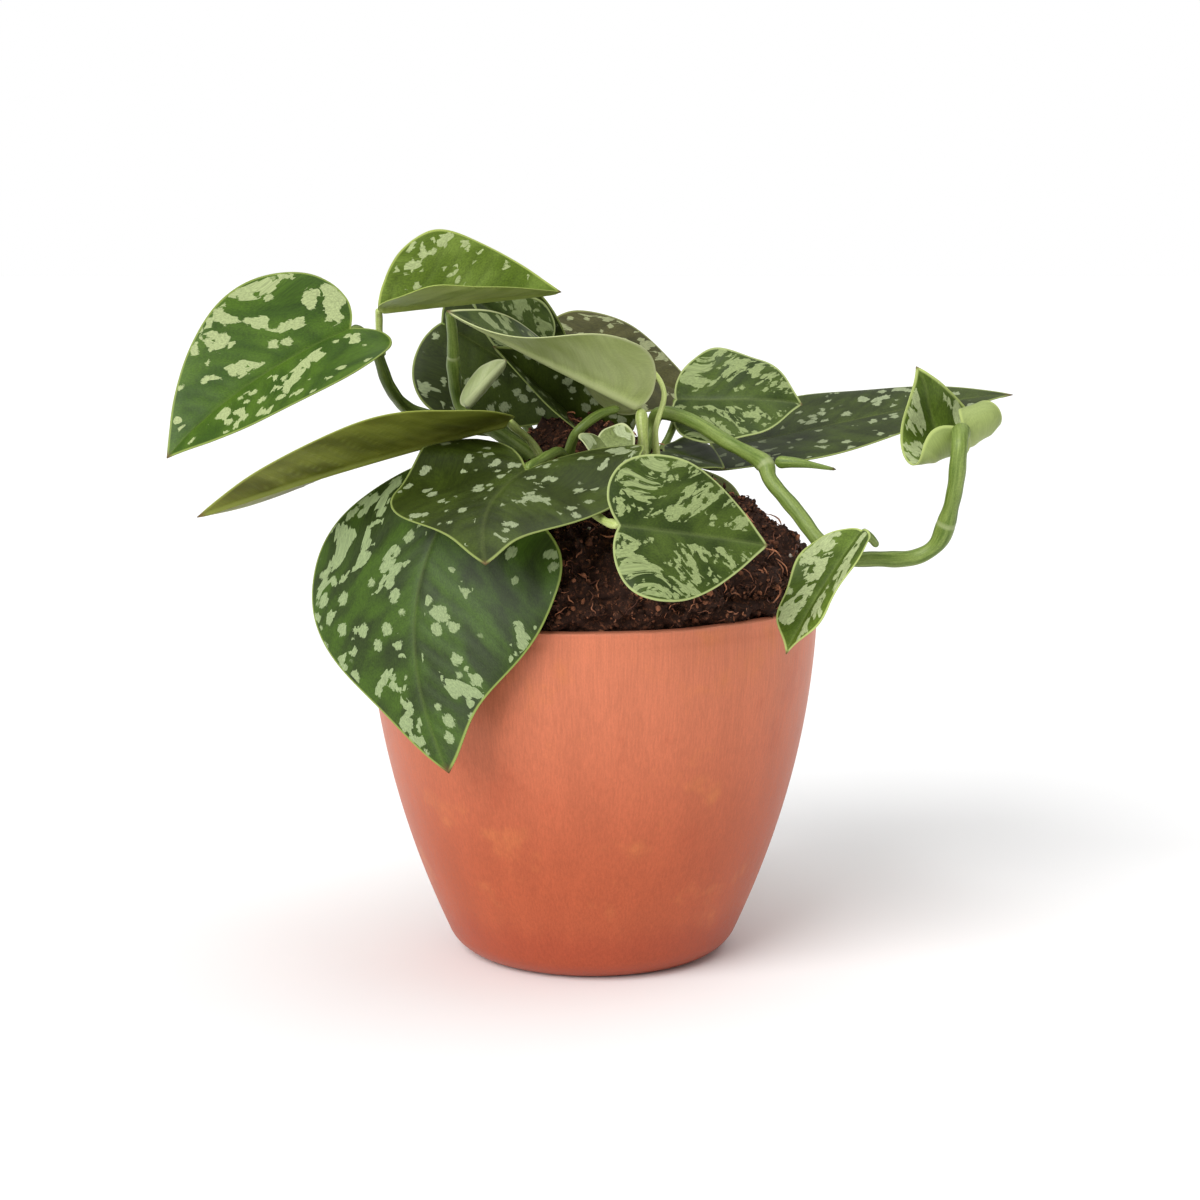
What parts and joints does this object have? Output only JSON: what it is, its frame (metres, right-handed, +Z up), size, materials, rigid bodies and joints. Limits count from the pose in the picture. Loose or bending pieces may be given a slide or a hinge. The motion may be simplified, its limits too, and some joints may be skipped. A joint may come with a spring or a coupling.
{
  "type": "potted plant",
  "caption": "Low satin pothos with silver-marked, heart-shaped leaves and one trailing vine, planted in a heap of soil in a round pot that narrows towards its foot.",
  "frame": {"origin": "centre of the pot's flat base, on the table", "axes": "+Z up along the pot's axis; -Y towards the side with the largest hanging leaf, +X to the right of that side, where the vine trails"},
  "size_m": [0.2316, 0.1835, 0.1989],
  "materials": {
    "pot": "copper-orange satin paint laid on with upright brush strokes",
    "soil": "moist peat and coir potting mix, crumbly and matt, with fibres and a few white grains",
    "leaf": "living leaf, satin, dark green with silver-green blotches and a pale underside",
    "young_leaf": "young living leaf, satin, paler green",
    "stalk": "living green stem, satin, finely speckled"
  },
  "bodies": {
    "root": {"leaf_back_brown": "leaf", "leaf_back_hanging": "leaf", "leaf_back_left": "leaf", "leaf_back_low": "leaf", "leaf_back_upper": "leaf", "leaf_centre_under": "leaf", "leaf_diagonal": "leaf", "leaf_front_hanging": "leaf", "leaf_front_heart": "leaf", "leaf_front_left": "leaf", "leaf_grey_small": "young_leaf", "leaf_high_left": "leaf", "leaf_left_long": "leaf", "leaf_middle_dark": "leaf", "leaf_right_heart": "leaf", "leaf_right_long": "leaf", "leaf_rolled": "young_leaf", "leaf_top": "leaf", "leaf_vine_end": "young_leaf", "leaf_vine_small": "young_leaf", "pot": "pot", "soil": "soil", "stem_arc": "stalk", "stem_back_brown": "stalk", "stem_back_hanging": "stalk", "stem_back_left": "stalk", "stem_back_low": "stalk", "stem_back_upper": "stalk", "stem_bud": "stalk", "stem_centre": "stalk", "stem_front_hanging": "stalk", "stem_front_heart": "stalk", "stem_front_left": "stalk", "stem_left": "stalk", "stem_left_long": "stalk", "stem_right_heart": "stalk", "stem_right_long": "stalk", "stem_sheath": "stalk", "stem_spear": "stalk", "stem_top": "stalk", "stem_vine": "stalk", "stem_vine_small": "stalk"}
  },
  "joints": []
}
